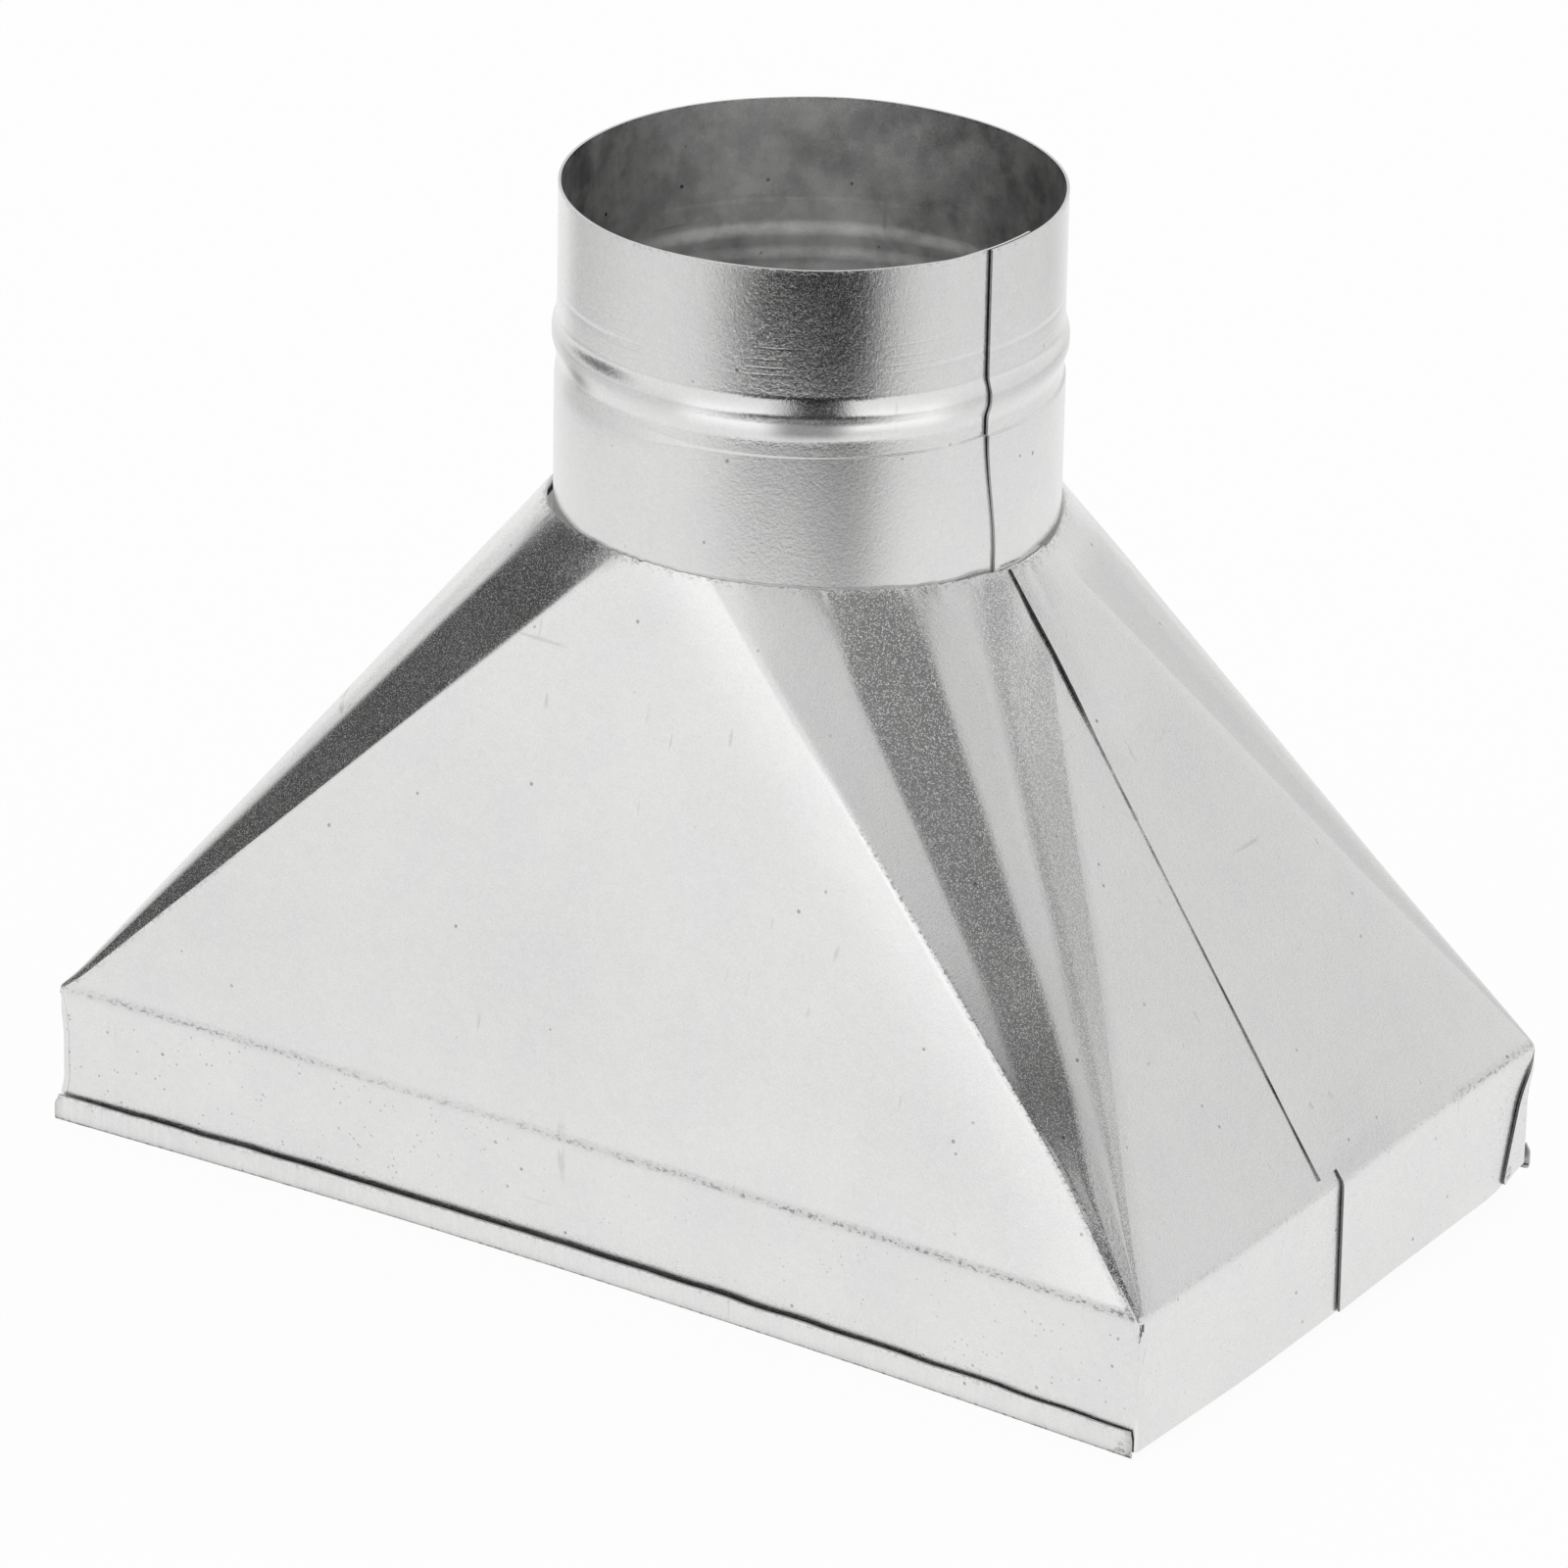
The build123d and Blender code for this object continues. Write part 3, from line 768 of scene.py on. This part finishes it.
def galvanised(name, seed, tone, rough, rolled=False, mottle=0.012, cloud_size=24, glitter=1.0, inner=False):
    """Mill-finish galvanised sheet: fine spangle and grain, smudges, specks, scratches, scuffs, and the
    painted light and shade that its marks carry.
    """
    k = Net(name, seed)
    cloud = k.noise(cloud_size, 3, 0.55)
    smudge = k.noise(2.5 * cloud_size, 4, 0.6)
    spangle = k.axis(k.cells(700, "Color"), "X")
    grain = k.noise(1700, 2, 0.65)
    fleck = k.noise(1150, 1, 0.5)
    sparkle = k.times(k.ramp(k.cells(4000), 0.48, 0.20), k.ramp(k.noise(2700, 1), 0.42, 0.58))
    # sparse specks and short scratches
    speck = k.times(k.ramp(k.cells(190), 0.10, 0.05), k.ramp(k.noise(160, 1), 0.52, 0.60))
    scratch_a = k.ramp(k.noise(420, 1, 0.5, k.stretched(1, 1, 0.06)), 0.735, 0.79)
    scratch_b = k.ramp(k.noise(380, 1, 0.5, k.stretched(0.07, 0.07, 1)), 0.735, 0.79)
    scratch = k.times(k.maths("MAXIMUM", scratch_a, scratch_b), k.ramp(smudge, 0.46, 0.62))
    chatter = k.noise(900, 2, 0.7, k.stretched(1, 1, 1.6))
    rub = k.times(k.attribute("scuff"), k.ramp(chatter, 0.50, 0.62))
    painted_light = k.attribute("painted_light")
    matte = k.attribute("matte")
    # pits in the band's walls, and brush marks down the hem
    pit = k.times(k.ramp(k.cells(620), 0.22, 0.10), k.ramp(k.noise(260, 1), 0.50, 0.58))
    pit = k.times(pit, k.attribute("pitted"))
    brush = k.maths("SUBTRACT", k.noise(900, 2, 0.6, k.stretched(1, 1, 0.10)), 0.5)
    brush = k.times(brush, k.attribute("brushed"))
    value = k.total(
        k.ramp(cloud, 0.3, 0.7, tone - mottle, tone + mottle),
        k.ramp(smudge, 0.35, 0.65, -0.7 * mottle, 0.7 * mottle),
        k.times(k.maths("SUBTRACT", spangle, 0.5), 0.02),
        k.ramp(grain, 0.3, 0.7, -0.018, 0.018),
        k.times(speck, -0.38),
        k.times(scratch, -0.10),
        k.times(rub, -0.34),
        k.times(painted_light, 0.20),
        k.times(k.attribute("stain_and_shade"), -0.5),
        k.times(pit, -0.34),
        k.times(brush, 0.16),
    )
    # the inside is darkened by its painted shade
    if inner:
        value = k.maths("SUBTRACT", value, k.attribute("inner_shade"))
    rough_value = k.total(
        k.ramp(cloud, 0.3, 0.7, rough - 0.02, rough + 0.02),
        k.ramp(grain, 0.3, 0.7, -0.02, 0.03),
        k.times(sparkle, 0.11 * glitter),
        k.times(rub, 0.2),
        k.times(scratch, 0.1),
        k.times(matte, 0.07),
        k.times(painted_light, -0.04),
    )
    height = k.total(
        k.times(grain, 0.7),
        k.times(fleck, 0.5),
        k.times(sparkle, -0.55 * glitter),
        k.times(pit, -1.3),
        k.times(brush, 1.2),
        k.times(rub, -1.6),
    )
    if rolled:
        # fine dashes round the sheet, but none where it is dull
        turn = k.attribute("turn")
        up = k.times(k.axis(k.object, "Z"), 1000.0)
        flat = k.vector(turn, up, 0.0)
        weave = k.total(
            k.noise(2.4, 1, 0.5, k.stretched(1, 0.25, 1, flat)),
            k.noise(2.0, 1, 0.5, k.stretched(1, 0.3, 1, flat)),
        )
        dashes = k.times(k.ramp(weave, 1.12, 1.28), k.ramp(matte, 0.5, 0.0))
        # roll lines, a little off level, above the bead
        level = k.total(up, k.times(turn, -0.012))
        lines = None
        for z in ROLL_LINES:
            line = k.ramp(k.maths("ABSOLUTE", k.maths("SUBTRACT", level, z)), 0.30, 0.05)
            lines = line if lines is None else k.maths("MAXIMUM", lines, line)
        lines = k.times(lines, k.ramp(smudge, 0.42, 0.6))
        value = k.total(value, k.times(dashes, 0.015), k.times(lines, -0.04))
        height = k.total(height, k.times(dashes, 0.3), k.times(lines, -0.25))
    # a faint warmth that comes and goes
    warm = k.mix(k.ramp(smudge, 0.3, 0.7), (1.0, 1.0, 1.0, 1), (1.0, 0.997, 0.985, 1))
    tint = k.nodes.new("ShaderNodeVectorMath")
    tint.operation = "MULTIPLY"
    k.links.new(k.grey(value), tint.inputs[0])
    k.links.new(warm, tint.inputs[1])
    return k.finish(tint.outputs[0], rough_value, height, 0.6, RELIEF)


def cut_edge():
    """The sheet's sheared edge: dark, brighter where a painted highlight is given point by point."""
    k = Net("cut_edge", 4)
    grain = k.noise(1400, 3, 0.6)
    value = k.total(k.ramp(grain, 0.3, 0.7, 0.04, 0.11), k.times(k.attribute("edge_highlight"), 0.55))
    return k.finish(k.grey(value), k.ramp(grain, 0.3, 0.7, 0.35, 0.55), grain, 0.5, RELIEF)


body_metal = galvanised("galvanised_body", 1, 0.765, 0.22)
collar_metal = galvanised("galvanised_collar", 2, 0.74, 0.15, rolled=True, glitter=0.35)
# the inside is a darker copy of the same sheet: painted shade
inner_metal = galvanised("galvanised_inside_shaded", 3, 0.62, 0.48, mottle=0.10, cloud_size=60, inner=True)
edge_metal = cut_edge()

body_half("front_skin", "front_half", False, [body_metal, inner_metal, edge_metal])
body_half("back_skin", "back_half", True, [body_metal, inner_metal, edge_metal])
collar_piece([collar_metal, inner_metal, edge_metal])


# Floor, light and world, in metres

FLOOR_HALF = 6.0
FLOOR_GREY = 0.9
# how much of the floor the camera and the metal see as plain white; the rest keeps the shadow
FLOOR_WHITE = 0.95
CARD_Z = 0.0006


def flat_mesh(name, corners, faces, material, levels=None):
    mesh = bpy.data.meshes.new(name)
    mesh.from_pydata(corners, [], faces)
    mesh.materials.append(material)
    if levels is not None:
        layer = mesh.attributes.new("level", "FLOAT", "POINT")
        layer.data.foreach_set("value", levels)
    obj = bpy.data.objects.new(name, mesh)
    bpy.context.scene.collection.objects.link(obj)
    return obj


def pale_floor():
    m, nodes, links = new_material("floor_paint")
    out = nodes.new("ShaderNodeOutputMaterial")
    paint = nodes.new("ShaderNodeBsdfDiffuse")
    paint.inputs["Color"].default_value = (FLOOR_GREY, FLOOR_GREY, FLOOR_GREY, 1)
    white = nodes.new("ShaderNodeEmission")
    path = nodes.new("ShaderNodeLightPath")
    seen = nodes.new("ShaderNodeMath")
    seen.operation = "MAXIMUM"
    links.new(path.outputs["Is Camera Ray"], seen.inputs[0])
    links.new(path.outputs["Is Glossy Ray"], seen.inputs[1])
    share = nodes.new("ShaderNodeMath")
    share.operation = "MULTIPLY"
    share.inputs[1].default_value = FLOOR_WHITE
    links.new(seen.outputs[0], share.inputs[0])
    mixer = nodes.new("ShaderNodeMixShader")
    links.new(share.outputs[0], mixer.inputs[0])
    links.new(paint.outputs[0], mixer.inputs[1])
    links.new(white.outputs[0], mixer.inputs[2])
    links.new(mixer.outputs[0], out.inputs["Surface"])
    return m


def card_paint():
    """Grey glow that follows the card's own level, from point to point."""
    m, nodes, links = new_material("card")
    out = nodes.new("ShaderNodeOutputMaterial")
    glow = nodes.new("ShaderNodeEmission")
    level = nodes.new("ShaderNodeAttribute")
    level.attribute_name = "level"
    links.new(level.outputs["Fac"], glow.inputs["Strength"])
    links.new(glow.outputs[0], out.inputs["Surface"])
    return m


def reflected_only(obj):
    """A studio card that only the metal shows."""
    obj.visible_camera = False
    obj.visible_diffuse = False
    obj.visible_shadow = False
    obj.visible_transmission = False


corners = [(x * FLOOR_HALF, y * FLOOR_HALF, 0) for x, y in ((-1, -1), (1, -1), (1, 1), (-1, 1))]
flat_mesh("floor", corners, [(0, 1, 2, 3)], pale_floor())
grey_card = card_paint()


def ring_card(name, angles, radii, levels):
    """A level band round the object, just above the floor, its grey given by azimuth."""
    turn = np.radians(angles)
    corners = [(r * math.cos(x), r * math.sin(x), CARD_Z) for r in radii for x in turn]
    n = len(angles)
    faces = [(k, k + 1, k + 1 + n, k + n) for k in range(n - 1)]
    reflected_only(flat_mesh(name, corners, faces, grey_card, list(levels) * 2))


# the room beyond the table: how light it is, by azimuth, and its dark part on the camera's side
ROOM = [(-200, 1.0), (-195, 0.86), (-183, 0.66), (-163, 0.73), (-143, 0.84), (-123, 0.88), (-105, 0.80),
        (-95, 0.55), (-86, 0.26), (-77, 0.04), (-34, 0.04), (-27, 0.32), (-18, 0.62), (-6, 0.84),
        (17, 0.88), (57, 0.85), (77, 0.80), (97, 0.92), (117, 1.0)]
around = np.linspace(-200, 117, 107)
ring_card("card_near", around, (0.48, 1.0), np.interp(around, *zip(*ROOM)))
around = np.linspace(-84, -29, 23)
ring_card("card_beyond", around, (1.0, 4.0), np.interp(around, *zip(*ROOM)))
# a soft grey on the table that the lower collar shows
around = np.linspace(-74, -18, 29)
grey = np.interp(around, [-74, -62, -52, -42, -33, -26, -18], [0.99, 0.95, 0.74, 0.5, 0.6, 0.88, 0.99])
ring_card("card_table", around, (0.33, 0.48), grey)
# the dark column where the photographer stands
edge = [math.radians(x) for x in (-64, -53, -42)]
column = [(0.43 * math.cos(x), 0.43 * math.sin(x), z) for z in (0.018, 0.36) for x in edge]
reflected_only(flat_mesh("card_column", column, [(0, 1, 4, 3), (1, 2, 5, 4)], grey_card, [0.03] * 6))

# soft dark gaps between the studio's lights: azimuth, elevation, inner and outer reach, depth
GAPS = [
    (-17, 53, 14, 24, 0.82),
    (-173, 14, 12, 36, 0.93),
    (-73, 44, 8, 22, 0.28),
    (45, 30, 4, 15, 0.62),
    (20, 44, 4, 16, 0.25),
    (54, 19, 6, 30, 0.10),
    (93, -2, 8, 30, 0.2),
]


def direction(azimuth, elevation):
    """Which way an azimuth from +X and an elevation point, both in degrees."""
    a, e = math.radians(azimuth), math.radians(elevation)
    return Vector((math.cos(a) * math.cos(e), math.sin(a) * math.cos(e), math.sin(e)))


world = bpy.data.worlds.new("studio")
bpy.context.scene.world = world
world.use_nodes = True
nodes, links = world.node_tree.nodes, world.node_tree.links
nodes.clear()
out = nodes.new("ShaderNodeOutputWorld")
sky = nodes.new("ShaderNodeBackground")
links.new(sky.outputs[0], out.inputs["Surface"])
place = nodes.new("ShaderNodeTexCoord")
level = None
for azimuth, elevation, inner, outer, depth in GAPS:
    dot = nodes.new("ShaderNodeVectorMath")
    dot.operation = "DOT_PRODUCT"
    dot.inputs[1].default_value = direction(azimuth, elevation)
    links.new(place.outputs["Generated"], dot.inputs[0])
    gap = nodes.new("ShaderNodeMapRange")
    gap.interpolation_type = "SMOOTHSTEP"
    gap.inputs["From Min"].default_value = math.cos(math.radians(outer))
    gap.inputs["From Max"].default_value = math.cos(math.radians(inner))
    gap.inputs["To Min"].default_value = 1.0
    gap.inputs["To Max"].default_value = 1.0 - depth
    links.new(dot.outputs["Value"], gap.inputs["Value"])
    if level is None:
        level = gap.outputs["Result"]
    else:
        times = nodes.new("ShaderNodeMath")
        times.operation = "MULTIPLY"
        links.new(level, times.inputs[0])
        links.new(gap.outputs["Result"], times.inputs[1])
        level = times.outputs[0]
# the camera itself sees plain white
path = nodes.new("ShaderNodeLightPath")
seen = nodes.new("ShaderNodeMath")
seen.operation = "MAXIMUM"
links.new(level, seen.inputs[0])
links.new(path.outputs["Is Camera Ray"], seen.inputs[1])
links.new(seen.outputs[0], sky.inputs["Strength"])
sky.inputs["Color"].default_value = (1, 1, 1, 1)


# Camera, fitted to the photo: degrees and millimetres, and the focal length in half sensor widths

CAMERA_AZIMUTH = 33.325
CAMERA_ELEVATION = 23.4388
CAMERA_ROLL = math.radians(1.1546)
CAMERA_DISTANCE = 1947.693
FOCAL = 12.5211
SENSOR = 36
TARGET = Vector((0, 0, 81.4))
SHIFT_RIGHT = -3.4491
SHIFT_UP = -0.992

back = direction(CAMERA_AZIMUTH - 90, CAMERA_ELEVATION)
right = direction(CAMERA_AZIMUTH, 0)
up = back.cross(right)
cos_roll, sin_roll = math.cos(CAMERA_ROLL), math.sin(CAMERA_ROLL)
right, up = right * cos_roll + up * sin_roll, up * cos_roll - right * sin_roll
eye = (TARGET + right * SHIFT_RIGHT + up * SHIFT_UP + back * CAMERA_DISTANCE) * MM
camera = bpy.data.objects.new("camera", bpy.data.cameras.new("camera"))
bpy.context.scene.collection.objects.link(camera)
camera.data.sensor_width = SENSOR
camera.data.lens = SENSOR / 2 * FOCAL
camera.data.clip_end = 20
camera.matrix_world = Matrix((
    (right.x, up.x, back.x, eye.x),
    (right.y, up.y, back.y, eye.y),
    (right.z, up.z, back.z, eye.z),
    (0, 0, 0, 1),
))
bpy.context.scene.camera = camera
bpy.context.scene.view_settings.view_transform = "Standard"
